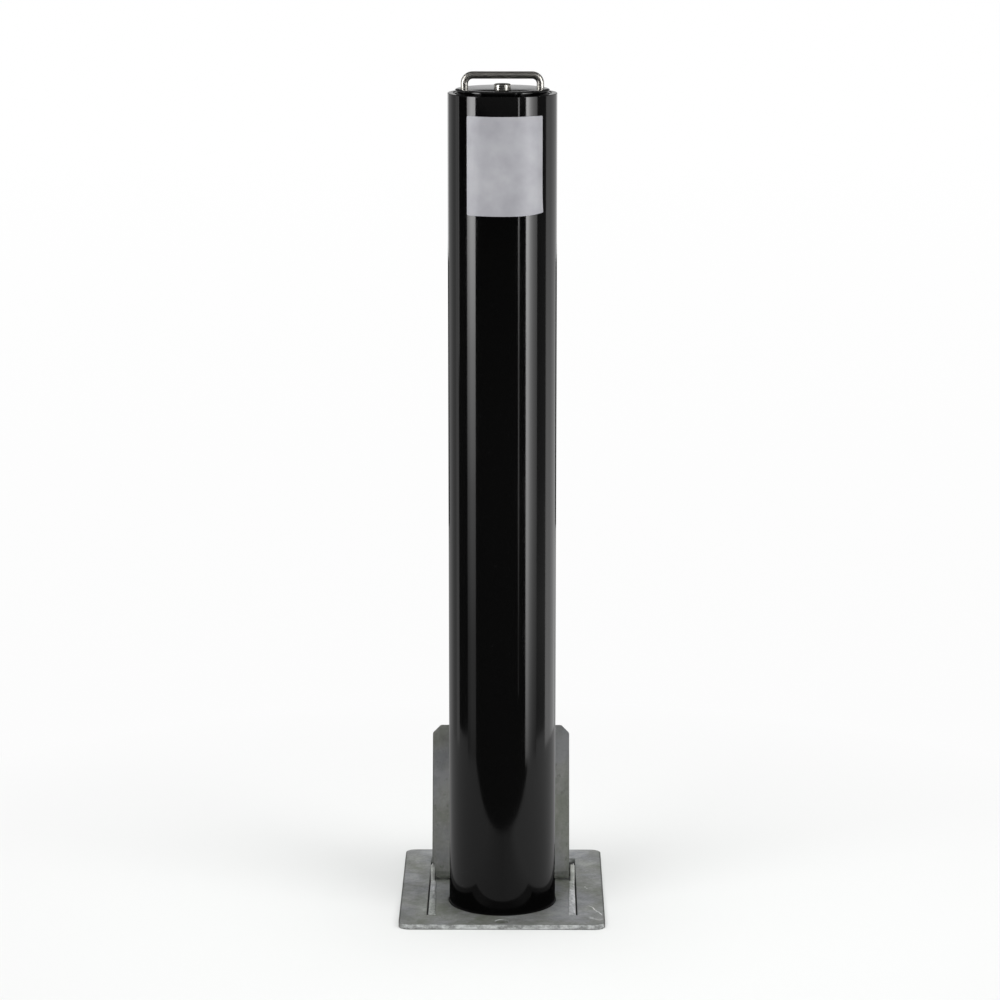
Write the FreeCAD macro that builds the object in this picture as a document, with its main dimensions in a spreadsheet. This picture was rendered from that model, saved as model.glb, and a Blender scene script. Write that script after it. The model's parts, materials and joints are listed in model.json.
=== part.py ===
import FreeCAD, Part
import math
import os
import re
import Sketcher

# Removable bollard: a round steel post that stands in an in-ground socket and is held down by a
# keyed tee bolt. A hinged lid, which covers the hole when the post is out, leans back behind it.
# Frame: origin on the post's axis at ground level, +Z up, -Y towards the front, +X to the right.

SIZES = {
    # Post tube and its cap
    "post_diameter": 119,
    "post_wall": 6.3,
    "post_height": 915.5,
    "post_embedment": 300,
    "rim_chamfer": 1.4,
    "press_gap": 0.1,
    "cap_rise": 5.6,
    "cap_flat_diameter": 84,
    "cap_shoulder_width": 8,
    "cap_shoulder_drop": 2.4,
    "cap_brow_width": 1.4,
    "cap_brow_drop": 2.6,
    "cap_seat_drop": 0.9,
    "cap_skirt_depth": 12,
    "cap_skirt_wall": 3.4,
    "cap_roof": 6,
    # Lifting handle and its fasteners
    "handle_bar": 8,
    "handle_washer_margin": 1.1,
    "handle_rise": 17.3,
    "handle_bend": 9,
    "thread_stub": 3,
    "leg_clearance": 0.2,
    "handle_washer_diameter": 15,
    "handle_washer_thickness": 1.6,
    "handle_nut_flats": 13,
    "handle_nut_height": 6.5,
    # Label on the front of the tube
    "label_thickness": 0.3,
    "label_gap": 0.1,
    "label_drop": 20.9,
    "label_height": 106.6,
    "label_width": 88.3,
    "label_offset": 3.7,
    # Key lock in the cap
    "lock_ring_diameter": 18.4,
    "lock_ring_height": 4,
    "lock_ring_chamfer": 1,
    "lock_thread_diameter": 16,
    "lock_length": 26,
    "lock_nut_flats": 22,
    "lock_nut_height": 5,
    "lock_clearance": 0.2,
    "plug_diameter": 8,
    "plug_recess": 0.6,
    "plug_tail": 16,
    "running_clearance": 0.05,
    "keyway_width": 1.4,
    "keyway_height": 5.6,
    "keyway_depth": 6,
    # Rod that carries the lock's turn down to the tee bolt
    "rod_diameter": 12,
    "coupler_width": 20,
    "coupler_length": 42,
    "coupler_drop": 1,
    "coupler_web": 3,
    "coupler_pin_diameter": 4,
    "coupler_pin_inset": 8,
    "rod_guide_height": 320,
    "rod_guide_thickness": 5,
    "rod_guide_window_near": 14,
    "rod_guide_window_far": 40,
    "rod_guide_window_width": 24,
    "rod_guide_windows": 4,
    "foot_disc_thickness": 6,
    "tee_length": 96,
    "tee_width": 16,
    "tee_thickness": 8,
    "tee_gap": 0.4,
    "tee_nut_flats": 18,
    "tee_nut_height": 10,
    # Ground plate
    "plate_width": 229,
    "plate_front": 92,
    "plate_rear": 191,
    "plate_thickness": 6,
    "plate_corner": 12,
    "post_hole_clearance": 1.2,
    "slot_front": 58,
    "slot_rear": 156,
    "slot_inner_gap": 0.4,
    "slot_outer_gap": 1.6,
    # Casing below the ground
    "casing_inner_width": 155.2,
    "cheek_thickness": 5,
    "casing_front": 66,
    "casing_rear": 160,
    "casing_wall": 4,
    "rod_floor_clearance": 7.6,
    "base_thickness": 8,
    "base_flange": 20,
    "base_corner": 10,
    "drain_diameter": 30,
    "shelf_rear": 70,
    "guide_plate_depth": 150,
    "guide_plate_thickness": 5,
    "catch_plate_thickness": 8,
    "catch_slot_clearance": 2,
    # Weld along each slot
    "weld_width": 9.4,
    "weld_height": 1.8,
    "weld_middle_offset": 0.5,
    "weld_rear": 66,
    # Hinge and lid
    "hinge_back": 78,
    "hinge_height": 14,
    "hinge_pin_diameter": 10,
    "hinge_pin_chamfer": 0.8,
    "ear_radius": 8,
    "barrel_diameter": 15,
    "barrel_side_gap": 2.4,
    "lid_rest_gap": 0.2,
    "lid_width": 157.4,
    "lid_thickness": 5,
    "lid_lean": 20,
    "lid_neck_start": 2,
    "lid_shoulder": 9,
    "lid_corner": 9,
    "lid_corner_rounding": 4,
    # Stops that the lid leans on
    "stop_inset": 28.7,
    "stop_thickness": 6,
    "stop_gap": 0.3,
    "stop_nose_low": 26,
    "stop_nose_high": 36,
    "stop_nose_depth": 8,
    "stop_back_height": 18,
    "stop_foot_gap": 10,
    "stop_foot_length": 34,
    # Screw that secures the closed lid
    "cover_screw_back": 80.5,
    "cover_screw_diameter": 10,
    "cover_screw_head": 15,
    "cover_screw_head_height": 5,
    "cover_screw_length": 18,
    "cover_screw_socket": 6,
    "cover_screw_socket_depth": 3,
    "cover_recess": 16,
    "cover_nut_flats": 20,
    "cover_nut_height": 10,
    "lid_overhang": 10.1,
    "lid_notch_clearance": 0.5,
}

# Sizes that several pieces share, worked out from the ones above
DERIVED = {
    "post_radius": "post_diameter / 2",
    "bore_radius": "post_diameter / 2 - post_wall",
    "insert_radius": "bore_radius - press_gap",
    "cap_top": "post_height + cap_rise",
    "cap_ceiling": "cap_top - cap_roof",
    "handle_offset": "insert_radius - cap_skirt_wall - handle_washer_diameter / 2 - handle_washer_margin",
    "handle_axis_height": "cap_top + handle_rise - handle_bar / 2",
    "handle_leg_end": "cap_ceiling - handle_washer_thickness - handle_nut_height - thread_stub",
    "label_bottom": "post_height - label_drop - label_height",
    "label_turn": "label_offset / post_radius * 180 / pi",
    "label_arc": "label_width / post_radius * 180 / pi",
    "lock_bottom": "cap_top - lock_length",
    "coupler_top": "lock_bottom - coupler_drop",
    "coupler_bottom": "coupler_top - coupler_length",
    "plug_end": "lock_bottom - plug_tail",
    "rod_top": "plug_end - coupler_web",
    "upper_pin_height": "coupler_top - coupler_pin_inset",
    "lower_pin_height": "coupler_bottom + coupler_pin_inset",
    "running_radius": "rod_diameter / 2 + running_clearance",
    "catch_bottom": "-post_embedment - catch_plate_thickness",
    "tee_top": "catch_bottom - tee_gap",
    "tee_bottom": "tee_top - tee_thickness",
    "tee_nut_bottom": "tee_bottom - tee_nut_height",
    "rod_bottom": "tee_nut_bottom - thread_stub",
    "casing_floor": "rod_bottom - rod_floor_clearance",
    "cheek_inner": "casing_inner_width / 2",
    "cheek_outer": "cheek_inner + cheek_thickness",
    "post_hole_radius": "post_diameter / 2 + post_hole_clearance",
    "barrel_half": "cheek_inner - barrel_side_gap",
    "lid_side_shift": "lid_rest_gap - barrel_side_gap",
    "lid_notch_reach": "hinge_back + cover_screw_back",
    "lid_length": "lid_notch_reach + lid_overhang",
    "barrel_radius": "barrel_diameter / 2",
    "lid_back_offset": "barrel_radius - lid_thickness",
    "stop_spread": "lid_width - 2 * stop_inset",
    "hinge_bore_radius": "hinge_pin_diameter / 2 + running_clearance",
    "weld_radius": "(weld_width * weld_width / 4 + weld_height * weld_height) / (2 * weld_height)",
}

SHEET = "Sizes"
FULL_TURN = 360
HEXAGON_SIDES = 6
SAME_PLACE = 0.001

doc = FreeCAD.newDocument("removable_bollard")
sheet = doc.addObject("Spreadsheet::Sheet", SHEET)
sub_parts = []
known_names = {alias: SHEET + "." + alias for alias in list(SIZES) + list(DERIVED)}


def fill_sheet():
    """Writes every driving size and every shared size into the spreadsheet."""
    row = 1
    for alias, value in list(SIZES.items()) + list(DERIVED.items()):
        sheet.set("A%d" % row, alias)
        sheet.set("B%d" % row, str(value) if alias in SIZES else "=" + value)
        sheet.setAlias("B%d" % row, alias)
        row += 1
    doc.recompute()


def bound(text):
    """Turns the size names in a formula into references to the spreadsheet."""
    return re.sub(r"\b[a-z_]+\b", lambda word: known_names.get(word[0], word[0]), text)


def number(text):
    """The present value of a formula of sizes."""
    value = sheet.evalExpression(bound(text))
    return float(getattr(value, "Value", value))


def new_body(name):
    """A sub-part whose label names its file."""
    body = doc.addObject("PartDesign::Body", name)
    body.Label = name
    sub_parts.append(body)
    return body


def new_sketch(body, plane="XY", level="0"):
    """A sketch on one of the body's own planes, moved along the plane's normal by a formula."""
    sketch = body.newObject("Sketcher::SketchObject", body.Name + "_sketch")
    planes = {feature.Role: feature for feature in body.Origin.OriginFeatures}
    sketch.AttachmentSupport = [(planes[plane + "_Plane"], "")]
    sketch.MapMode = "FlatFace"
    sketch.setExpression(".AttachmentOffset.Base.z", bound(level))
    return sketch


def pin_point(sketch, geometry, vertex, x, y):
    """Ties one point of the sketch to two formulas, measured from the sketch's origin."""
    for kind, formula in (("DistanceX", x), ("DistanceY", y)):
        rule = sketch.addConstraint(
            Sketcher.Constraint(kind, -1, 1, geometry, vertex, number(formula))
        )
        sketch.setExpression("Constraints[%d]" % rule, bound(formula))


def outline(sketch, corners):
    """A closed outline of straight lines through corners given as pairs of formulas."""
    first = sketch.GeometryCount
    count = len(corners)
    points = [FreeCAD.Vector(number(x), number(y), 0) for x, y in corners]
    for i in range(count):
        sketch.addGeometry(Part.LineSegment(points[i], points[(i + 1) % count]))
    for i in range(count):
        following = first + (i + 1) % count
        sketch.addConstraint(Sketcher.Constraint("Coincident", first + i, 2, following, 1))
    for i, (x, y) in enumerate(corners):
        pin_point(sketch, first + i, 1, x, y)


def rectangle(sketch, left, right, low, high):
    """A closed rectangle between four formulas."""
    outline(sketch, [(left, low), (right, low), (right, high), (left, high)])


def circle(sketch, radius, x="0", y="0"):
    """A circle of a given radius about a given point."""
    centre = FreeCAD.Vector(number(x), number(y), 0)
    index = sketch.addGeometry(Part.Circle(centre, FreeCAD.Vector(0, 0, 1), number(radius)))
    rule = sketch.addConstraint(Sketcher.Constraint("Radius", index, number(radius)))
    sketch.setExpression("Constraints[%d]" % rule, bound(radius))
    pin_point(sketch, index, 3, x, y)


def hexagon(sketch, flats, x="0", y="0"):
    """A hexagon with two flats facing along the sketch's Y, centred on a point."""
    corners = []
    for step in range(HEXAGON_SIDES):
        angle = 2 * math.pi * step / HEXAGON_SIDES
        reach = "(%s) / (2 * cos(30deg))" % flats
        corner_x = "(%s) + %s * %.9f" % (x, reach, math.cos(angle))
        corner_y = "(%s) + %s * %.9f" % (y, reach, math.sin(angle))
        corners.append((corner_x, corner_y))
    outline(sketch, corners)


def pad(body, sketch, length, backwards=False):
    """Adds the sketch's outline, pulled out by a length."""
    feature = body.newObject("PartDesign::Pad", body.Name + "_pad")
    feature.Profile = sketch
    feature.Reversed = backwards
    feature.setExpression("Length", bound(length))
    doc.recompute()
    return feature


def cut(body, sketch, depth=None, backwards=False):
    """Cuts the sketch's outline to a depth, or right through, and checks that it removed metal."""
    before = body.Shape.Volume
    feature = body.newObject("PartDesign::Pocket", body.Name + "_cut")
    feature.Profile = sketch
    feature.Reversed = backwards
    if depth is None:
        feature.Type = "ThroughAll"
    else:
        feature.setExpression("Length", bound(depth))
    doc.recompute()
    if not body.Shape.Volume < before:
        raise RuntimeError("%s: a cut removed nothing" % body.Label)
    return feature


def spin(body, sketch):
    """Turns the sketch's outline once round its vertical axis."""
    feature = body.newObject("PartDesign::Revolution", body.Name + "_spin")
    feature.Profile = sketch
    feature.ReferenceAxis = (sketch, ["V_Axis"])
    feature.Angle = FULL_TURN
    doc.recompute()
    return feature


def edges_where(body, wanted):
    """Names of the body's present edges that pass a test."""
    edges = body.Tip.Shape.Edges
    return ["Edge%d" % (i + 1) for i, edge in enumerate(edges) if wanted(edge)]


def soften(body, kind, radius, wanted):
    """Fillets or chamfers the edges that pass a test."""
    base = body.Tip
    names = edges_where(body, wanted)
    if not names:
        raise RuntimeError("%s: no edge to soften" % body.Label)
    feature = body.newObject("PartDesign::" + kind, body.Name + "_" + kind.lower())
    feature.Base = (base, names)
    feature.setExpression("Radius" if kind == "Fillet" else "Size", bound(radius))
    doc.recompute()
    return feature


def near(value, target):
    """Whether two lengths are the same."""
    return abs(value - target) < SAME_PLACE


def round_edge_at(radius, height):
    """Test for a circular edge of a radius at a height."""

    def wanted(edge):
        box = edge.BoundBox
        if box.ZLength > SAME_PLACE:
            return False
        reach = number(radius)
        return near(box.ZMin, number(height)) and near(box.XMax, reach) and near(box.YMax, reach)

    return wanted


def upright_corner(x, y):
    """Test for an upright edge at plus or minus x and at y."""

    def wanted(edge):
        box = edge.BoundBox
        upright = near(box.XLength, 0) and near(box.YLength, 0)
        return upright and near(abs(box.XMax), number(x)) and near(box.YMax, number(y))

    return wanted


def make_post_tube():
    """Round tube, open below, with a softened upper rim."""
    body = new_body("post_tube")
    sketch = new_sketch(body, level="-post_embedment")
    circle(sketch, "post_radius")
    circle(sketch, "bore_radius")
    pad(body, sketch, "post_height + post_embedment")
    soften(body, "Chamfer", "rim_chamfer", round_edge_at("post_radius", "post_height"))


def make_top_cap():
    """Dished cap in the tube's mouth: flat crown, rounded shoulder and a skirt down the bore."""
    body = new_body("top_cap")
    sketch = new_sketch(body, "XZ")
    shoulder = "cap_flat_diameter / 2 + cap_shoulder_width"
    brow = shoulder + " + cap_brow_width"
    shoulder_level = "cap_top - cap_shoulder_drop"
    outline(sketch, [
        ("0", "cap_ceiling"),
        ("insert_radius - cap_skirt_wall", "cap_ceiling"),
        ("insert_radius - cap_skirt_wall", "post_height - cap_skirt_depth"),
        ("insert_radius", "post_height - cap_skirt_depth"),
        ("insert_radius", "post_height - cap_seat_drop"),
        (brow, shoulder_level + " - cap_brow_drop"),
        (shoulder, shoulder_level),
        ("cap_flat_diameter / 2", "cap_top"),
        ("0", "cap_top"),
    ])
    spin(body, sketch)
    holes = new_sketch(body, level="cap_top")
    circle(holes, "lock_thread_diameter / 2 + lock_clearance")
    for side in ("-", ""):
        circle(holes, "handle_bar / 2 + leg_clearance", side + "handle_offset")
    cut(body, holes)


def make_lifting_handle():
    """One bent bar whose legs go down through the cap."""
    body = new_body("lifting_handle")
    path = new_sketch(body, "XZ")
    half = number("handle_offset")
    top = number("handle_axis_height")
    end = number("handle_leg_end")
    bend = number("handle_bend")
    point = FreeCAD.Vector
    path.addGeometry(Part.LineSegment(point(-half, end, 0), point(-half, top - bend, 0)))
    path.addGeometry(Part.ArcOfCircle(
        Part.Circle(point(-half + bend, top - bend, 0), point(0, 0, 1), bend), math.pi / 2, math.pi
    ))
    path.addGeometry(Part.LineSegment(point(-half + bend, top, 0), point(half - bend, top, 0)))
    path.addGeometry(Part.ArcOfCircle(
        Part.Circle(point(half - bend, top - bend, 0), point(0, 0, 1), bend), 0, math.pi / 2
    ))
    path.addGeometry(Part.LineSegment(point(half, top - bend, 0), point(half, end, 0)))
    joins = ((0, 2, 1, 2), (1, 1, 2, 1), (2, 2, 3, 2), (3, 1, 4, 1))
    for joined in joins:
        path.addConstraint(Sketcher.Constraint("Coincident", *joined))
    corner = "handle_axis_height - handle_bend"
    pin_point(path, 0, 1, "-handle_offset", "handle_leg_end")
    for arc in (1, 3):
        rule = path.addConstraint(Sketcher.Constraint("Radius", arc, bend))
        path.setExpression("Constraints[%d]" % rule, bound("handle_bend"))
    pin_point(path, 4, 2, "handle_offset", "handle_leg_end")
    pin_point(path, 2, 1, "handle_bend - handle_offset", "handle_axis_height")
    pin_point(path, 2, 2, "handle_offset - handle_bend", "handle_axis_height")
    pin_point(path, 0, 2, "-handle_offset", corner)
    pin_point(path, 4, 1, "handle_offset", corner)
    section = new_sketch(body, level="handle_leg_end")
    circle(section, "handle_bar / 2", "-handle_offset")
    pipe = body.newObject("PartDesign::AdditivePipe", "handle_pipe")
    pipe.Profile = section
    pipe.Spine = (path, ["Edge%d" % (i + 1) for i in range(5)])
    pipe.Mode = "Frenet"
    doc.recompute()


def make_handle_fasteners():
    """Washers and nuts on the handle's two legs, under the cap."""
    washers = new_body("handle_washers")
    nuts = new_body("handle_nuts")
    for body, thickness, level in (
        (washers, "handle_washer_thickness", "cap_ceiling - handle_washer_thickness"),
        (nuts, "handle_nut_height", "cap_ceiling - handle_washer_thickness - handle_nut_height"),
    ):
        body.AllowCompound = True
        sketch = new_sketch(body, level=level)
        for side in ("-", ""):
            if body is washers:
                circle(sketch, "handle_washer_diameter / 2", side + "handle_offset")
            else:
                hexagon(sketch, "handle_nut_flats", side + "handle_offset")
            circle(sketch, "handle_bar / 2 + running_clearance", side + "handle_offset")
        pad(body, sketch, thickness)


def make_front_label():
    """Thin curved label on the front of the tube."""
    outer = doc.addObject("Part::Cylinder", "label_outer")
    inner = doc.addObject("Part::Cylinder", "label_inner")
    outer.setExpression("Radius", bound("post_radius + label_gap + label_thickness"))
    inner.setExpression("Radius", bound("post_radius + label_gap"))
    for drum in (outer, inner):
        drum.setExpression("Height", bound("label_height"))
        drum.setExpression("Angle", bound("label_arc"))
    label = doc.addObject("Part::Cut", "front_label")
    label.Label = "front_label"
    label.Base = outer
    label.Tool = inner
    label.Placement.Rotation = FreeCAD.Rotation(FreeCAD.Vector(0, 0, 1), 1)
    label.setExpression("Placement.Rotation.Yaw", bound("label_turn - label_arc / 2 - 90"))
    label.setExpression("Placement.Base.z", bound("label_bottom"))
    sub_parts.append(label)
    doc.recompute()


def make_lock_housing():
    """Lock body: a bright ring on the cap and a threaded barrel through it."""
    body = new_body("lock_housing")
    sketch = new_sketch(body, "XZ")
    ring_top = "cap_top + lock_ring_height"
    outline(sketch, [
        ("plug_diameter / 2", "lock_bottom"),
        ("lock_thread_diameter / 2", "lock_bottom"),
        ("lock_thread_diameter / 2", "cap_top"),
        ("lock_ring_diameter / 2", "cap_top"),
        ("lock_ring_diameter / 2", ring_top),
        ("plug_diameter / 2", ring_top),
    ])
    spin(body, sketch)
    soften(body, "Chamfer", "lock_ring_chamfer", round_edge_at("lock_ring_diameter / 2", ring_top))


def make_lock_nut():
    """Thin nut that clamps the lock to the underside of the cap."""
    body = new_body("lock_nut")
    sketch = new_sketch(body, level="cap_ceiling - lock_nut_height")
    hexagon(sketch, "lock_nut_flats")
    circle(sketch, "lock_thread_diameter / 2 + running_clearance")
    pad(body, sketch, "lock_nut_height")


def make_lock_plug():
    """Key plug with its keyway above and a pinned tail below."""
    body = new_body("lock_plug")
    sketch = new_sketch(body, level="plug_end")
    circle(sketch, "plug_diameter / 2 - running_clearance")
    pad(body, sketch, "cap_top + lock_ring_height - plug_recess - plug_end")
    keyway = new_sketch(body, level="cap_top + lock_ring_height - plug_recess")
    rectangle(keyway, "-keyway_width / 2", "keyway_width / 2", "-keyway_height / 2", "keyway_height / 2")
    cut(body, keyway, "keyway_depth")
    drill_for_pin(body, "upper_pin_height")


def drill_for_pin(body, height):
    """Cross hole for a coupler pin, along X."""
    sketch = new_sketch(body, "YZ", level="coupler_width")
    circle(sketch, "coupler_pin_diameter / 2", "0", height)
    cut(body, sketch)


def make_rod_coupler():
    """Square sleeve that joins the plug's tail to the rod."""
    body = new_body("rod_coupler")
    sketch = new_sketch(body, level="coupler_bottom")
    half = "coupler_width / 2"
    rectangle(sketch, "-" + half, half, "-" + half, half)
    pad(body, sketch, "coupler_length")
    plug_bore = new_sketch(body, level="coupler_top")
    circle(plug_bore, "plug_diameter / 2")
    cut(body, plug_bore, "coupler_top - plug_end")
    rod_bore = new_sketch(body, level="coupler_bottom")
    circle(rod_bore, "running_radius")
    cut(body, rod_bore, "rod_top - coupler_bottom", backwards=True)
    drill_for_pin(body, "upper_pin_height")
    drill_for_pin(body, "lower_pin_height")


def make_coupler_pins():
    """Two cross pins that lock the plug and the rod to the coupler."""
    body = new_body("coupler_pins")
    body.AllowCompound = True
    sketch = new_sketch(body, "YZ", level="-coupler_width / 2")
    for height in ("upper_pin_height", "lower_pin_height"):
        circle(sketch, "coupler_pin_diameter / 2 - running_clearance", "0", height)
    pad(body, sketch, "coupler_width")


def make_lock_rod():
    """Long round rod from the coupler to the tee bolt."""
    body = new_body("lock_rod")
    sketch = new_sketch(body, level="rod_bottom")
    circle(sketch, "rod_diameter / 2")
    pad(body, sketch, "rod_top - rod_bottom")
    drill_for_pin(body, "lower_pin_height")


def make_tee_bolt():
    """Flat bar with round ends that passes the catch slot and turns under it."""
    body = new_body("tee_bolt")
    sketch = new_sketch(body, level="tee_bottom")
    rectangle(sketch, "tee_width / 2 - tee_length / 2", "tee_length / 2 - tee_width / 2",
              "-tee_width / 2", "tee_width / 2")
    pad(body, sketch, "tee_thickness")
    for side in ("-", ""):
        end = new_sketch(body, level="tee_bottom")
        circle(end, "tee_width / 2", side + "(tee_length - tee_width) / 2")
        pad(body, end, "tee_thickness")
    hole = new_sketch(body, level="tee_top")
    circle(hole, "running_radius")
    cut(body, hole)


def make_tee_nut():
    """Nut on the rod's lower end, under the tee bolt."""
    body = new_body("tee_nut")
    sketch = new_sketch(body, level="tee_nut_bottom")
    hexagon(sketch, "tee_nut_flats")
    circle(sketch, "running_radius")
    pad(body, sketch, "tee_nut_height")


def make_rod_guide():
    """Disc inside the tube that keeps the rod central, with windows between its arms."""
    body = new_body("rod_guide")
    sketch = new_sketch(body, level="rod_guide_height")
    circle(sketch, "insert_radius")
    circle(sketch, "running_radius")
    pad(body, sketch, "rod_guide_thickness")
    window = new_sketch(body, level="rod_guide_height + rod_guide_thickness")
    half = "rod_guide_window_width / 2"
    rectangle(window, "rod_guide_window_near", "rod_guide_window_far", "-" + half, half)
    first_window = cut(body, window)
    ring = body.newObject("PartDesign::PolarPattern", "rod_guide_ring")
    ring.Originals = [first_window]
    ring.Axis = (window, ["N_Axis"])
    ring.Angle = FULL_TURN
    ring.setExpression("Occurrences", bound("rod_guide_windows"))
    body.Tip = ring
    doc.recompute()


def make_foot_disc():
    """Disc in the tube's lower end, which rests on the catch plate and guides the rod."""
    body = new_body("foot_disc")
    sketch = new_sketch(body, level="-post_embedment")
    circle(sketch, "insert_radius")
    circle(sketch, "running_radius")
    pad(body, sketch, "foot_disc_thickness")


def make_ground_plate():
    """Plate flush with the ground: post hole, a slot at each side and the screw's recess."""
    body = new_body("ground_plate")
    sketch = new_sketch(body)
    rectangle(sketch, "-plate_width / 2", "plate_width / 2", "-plate_front", "plate_rear")
    pad(body, sketch, "plate_thickness")
    front = upright_corner("plate_width / 2", "-plate_front")
    rear = upright_corner("plate_width / 2", "plate_rear")
    soften(body, "Fillet", "plate_corner", lambda edge: front(edge) or rear(edge))
    holes = new_sketch(body, level="plate_thickness")
    circle(holes, "post_hole_radius")
    circle(holes, "cover_recess / 2", "0", "-cover_screw_back")
    inner = "cheek_inner - slot_inner_gap"
    outer = "cheek_outer + slot_outer_gap"
    rectangle(holes, inner, outer, "-slot_front", "slot_rear")
    rectangle(holes, "-(%s)" % outer, "-(%s)" % inner, "-slot_front", "slot_rear")
    cut(body, holes)


def make_cheek(name, inner_face):
    """Side wall of the casing; its upper edge fills the slot and rises into a hinge ear."""
    body = new_body(name)
    sketch = new_sketch(body, "YZ", level=inner_face)
    outline(sketch, [
        ("-casing_front", "casing_floor"),
        ("casing_rear", "casing_floor"),
        ("casing_rear", "0"),
        ("hinge_back + ear_radius", "0"),
        ("hinge_back + ear_radius", "hinge_height"),
        ("hinge_back - ear_radius", "hinge_height"),
        ("hinge_back - ear_radius", "plate_thickness"),
        ("slot_inner_gap - slot_front", "plate_thickness"),
        ("slot_inner_gap - slot_front", "0"),
        ("-casing_front", "0"),
    ])
    pad(body, sketch, "cheek_thickness")
    ear = new_sketch(body, "YZ", level=inner_face)
    circle(ear, "ear_radius", "hinge_back", "hinge_height")
    pad(body, ear, "cheek_thickness")
    bore = new_sketch(body, "YZ", level="(%s) + cheek_thickness" % inner_face)
    circle(bore, "hinge_bore_radius", "hinge_back", "hinge_height")
    cut(body, bore)


def make_end_wall(name, low, high):
    """Front or rear wall of the casing, between the cheeks."""
    body = new_body(name)
    sketch = new_sketch(body, level="casing_floor")
    rectangle(sketch, "-cheek_inner", "cheek_inner", low, high)
    pad(body, sketch, "-casing_floor")


def make_base_plate():
    """Floor of the casing, with a flange all round and a drain hole."""
    body = new_body("casing_base_plate")
    sketch = new_sketch(body, level="casing_floor - base_thickness")
    side = "cheek_outer + base_flange"
    front = "-casing_front - base_flange"
    rear = "casing_rear + base_flange"
    rectangle(sketch, "-(%s)" % side, side, front, rear)
    circle(sketch, "drain_diameter / 2")
    pad(body, sketch, "base_thickness")
    at_front = upright_corner(side, front)
    at_rear = upright_corner(side, rear)
    soften(body, "Fillet", "base_corner", lambda edge: at_front(edge) or at_rear(edge))


def make_guide_plate():
    """Shelf half way down with a round hole that steadies the post."""
    body = new_body("guide_plate")
    sketch = new_sketch(body, level="-guide_plate_depth")
    rectangle(sketch, "-cheek_inner", "cheek_inner", "casing_wall - casing_front", "shelf_rear")
    circle(sketch, "post_hole_radius")
    pad(body, sketch, "guide_plate_thickness")


def make_catch_plate():
    """Shelf under the post, with the long slot that the tee bolt passes and then hooks under."""
    body = new_body("catch_plate")
    sketch = new_sketch(body, level="catch_bottom")
    rectangle(sketch, "-cheek_inner", "cheek_inner", "casing_wall - casing_front", "shelf_rear")
    pad(body, sketch, "catch_plate_thickness")
    half_width = "tee_width / 2 + catch_slot_clearance"
    straight = "(tee_length - tee_width) / 2"
    slot = new_sketch(body, level="-post_embedment")
    rectangle(slot, "-" + straight, straight, "-(%s)" % half_width, half_width)
    cut(body, slot)
    for side in ("-", ""):
        end = new_sketch(body, level="-post_embedment")
        circle(end, half_width, side + straight)
        cut(body, end)


def make_slot_weld(name, middle):
    """Low rounded bead that welds a cheek to the plate along its slot."""
    body = new_body(name)
    sketch = new_sketch(body, "XZ", level="-weld_rear")
    axis = "plate_thickness + weld_height - weld_radius"
    circle(sketch, "weld_radius", middle, axis)
    pad(body, sketch, "weld_rear + slot_front")
    below = new_sketch(body, level="plate_thickness")
    rectangle(below, "(%s) - weld_radius" % middle, "(%s) + weld_radius" % middle,
              "-slot_front", "weld_rear")
    cut(body, below)


def make_hinge_pin():
    """Pin from ear to ear."""
    body = new_body("hinge_pin")
    sketch = new_sketch(body, "YZ", level="-cheek_outer")
    circle(sketch, "hinge_pin_diameter / 2", "hinge_back", "hinge_height")
    pad(body, sketch, "2 * cheek_outer")
    soften(body, "Chamfer", "hinge_pin_chamfer", lambda edge: near(edge.BoundBox.XLength, 0))


def make_lid_stop(name, side):
    """Upright gusset behind the hinge, whose nose the open lid leans on."""
    body = new_body(name)
    lean = "tan(lid_lean * 1deg)"
    shift = "(lid_back_offset - stop_gap) / cos(lid_lean * 1deg)"
    nose = "hinge_back + (%s - hinge_height) * " + lean + " - " + shift
    low = (nose % "stop_nose_low", "stop_nose_low")
    high = (nose % "stop_nose_high", "stop_nose_high")
    sketch = new_sketch(body, "YZ", level="%sstop_spread / 2 - stop_thickness / 2" % side)
    outline(sketch, [
        ("hinge_back + stop_foot_gap", "plate_thickness"),
        ("hinge_back + stop_foot_gap + stop_foot_length", "plate_thickness"),
        (high[0] + " + stop_nose_depth", "stop_nose_high"),
        high,
        low,
        ("hinge_back + stop_foot_gap", "stop_back_height"),
    ])
    pad(body, sketch, "stop_thickness")


def make_cover_screw():
    """Socket screw kept in the plate's recess; it clamps the closed lid."""
    body = new_body("cover_screw")
    sketch = new_sketch(body, level="-cover_screw_length")
    circle(sketch, "cover_screw_diameter / 2 - running_clearance", "0", "-cover_screw_back")
    pad(body, sketch, "cover_screw_length")
    head = new_sketch(body)
    circle(head, "cover_screw_head / 2", "0", "-cover_screw_back")
    pad(body, head, "cover_screw_head_height")
    socket = new_sketch(body, level="cover_screw_head_height")
    hexagon(socket, "cover_screw_socket", "0", "-cover_screw_back")
    cut(body, socket, "cover_screw_socket_depth")


def make_cover_nut():
    """Nut welded under the plate for the cover screw."""
    body = new_body("cover_nut")
    sketch = new_sketch(body, level="-cover_nut_height")
    hexagon(sketch, "cover_nut_flats", "0", "-cover_screw_back")
    circle(sketch, "cover_screw_diameter / 2", "0", "-cover_screw_back")
    pad(body, sketch, "cover_nut_height")


def lean_back(body):
    """Sets a lid piece on the hinge, slid to its left stop along the pin, and leans it back."""
    body.Placement.Rotation = FreeCAD.Rotation(FreeCAD.Vector(-1, 0, 0), 1)
    body.setExpression("Placement.Base.x", bound("lid_side_shift"))
    body.setExpression("Placement.Base.y", bound("hinge_back"))
    body.setExpression("Placement.Base.z", bound("hinge_height"))
    body.setExpression("Placement.Rotation.Angle", bound("lid_lean * 1deg"))
    doc.recompute()


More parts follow.
